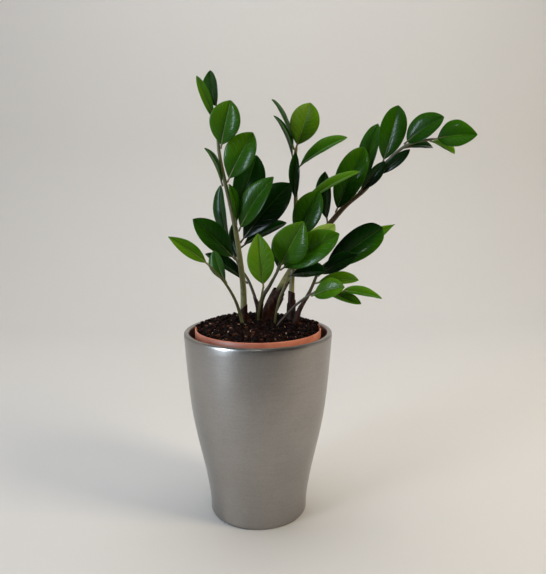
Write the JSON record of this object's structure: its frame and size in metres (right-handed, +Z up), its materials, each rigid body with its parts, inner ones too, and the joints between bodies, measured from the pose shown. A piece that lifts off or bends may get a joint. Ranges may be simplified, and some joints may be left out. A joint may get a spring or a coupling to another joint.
{
  "type": "potted zz plant",
  "caption": "Potted zz plant with glossy leaflets on upright and arching stems, in a terracotta-coloured nursery pot inside a tapered metallic cachepot.",
  "frame": {"origin": "centre of the cachepot's flat underside, on the pot's axis", "axes": "+Z is up, +X is to the right and -Y is towards the viewer"},
  "size_m": [0.2809, 0.1402, 0.4122],
  "materials": {
    "glazed_metal": "satin metallic pewter glaze, finely mottled",
    "terracotta_plastic": "matte moulded plastic, terracotta coloured",
    "soil": "dark, coarse, slightly damp potting mix",
    "rhizome": "dull skin of a tuber",
    "stem": "smooth, olive green with brown blotches",
    "leaf": "glossy, waxy green leaf"
  },
  "bodies": {
    "root": {"cachepot": "glazed_metal", "leaflet_a1": "leaf", "leaflet_a10": "leaf", "leaflet_a2": "leaf", "leaflet_a3": "leaf", "leaflet_a4": "leaf", "leaflet_a5": "leaf", "leaflet_a6": "leaf", "leaflet_a7": "leaf", "leaflet_a8": "leaf", "leaflet_a9": "leaf", "leaflet_b1": "leaf", "leaflet_b2": "leaf", "leaflet_b3": "leaf", "leaflet_b4": "leaf", "leaflet_b5": "leaf", "leaflet_b6": "leaf", "leaflet_b7": "leaf", "leaflet_c1": "leaf", "leaflet_c10": "leaf", "leaflet_c2": "leaf", "leaflet_c3": "leaf", "leaflet_c4": "leaf", "leaflet_c5": "leaf", "leaflet_c6": "leaf", "leaflet_c7": "leaf", "leaflet_c8": "leaf", "leaflet_c9": "leaf", "leaflet_d1": "leaf", "leaflet_d2": "leaf", "leaflet_e1": "leaf", "leaflet_e2": "leaf", "leaflet_e3": "leaf", "leaflet_f1": "leaf", "leaflet_f2": "leaf", "leaflet_f3": "leaf", "leaflet_f4": "leaf", "leaflet_g1": "leaf", "leaflet_h1": "leaf", "leaflet_h2": "leaf", "leaflet_h3": "leaf", "leaflet_h4": "leaf", "leaflet_i1": "leaf", "leaflet_i2": "leaf", "leaflet_i3": "leaf", "leaflet_j1": "leaf", "leaflet_j2": "leaf", "nursery_pot": "terracotta_plastic", "rhizome": "rhizome", "soil": "soil", "stem_a": "stem", "stem_b": "stem", "stem_c": "stem", "stem_d": "stem", "stem_e": "stem", "stem_f": "stem", "stem_g": "stem", "stem_h": "stem", "stem_i": "stem", "stem_j": "stem"}
  },
  "joints": []
}
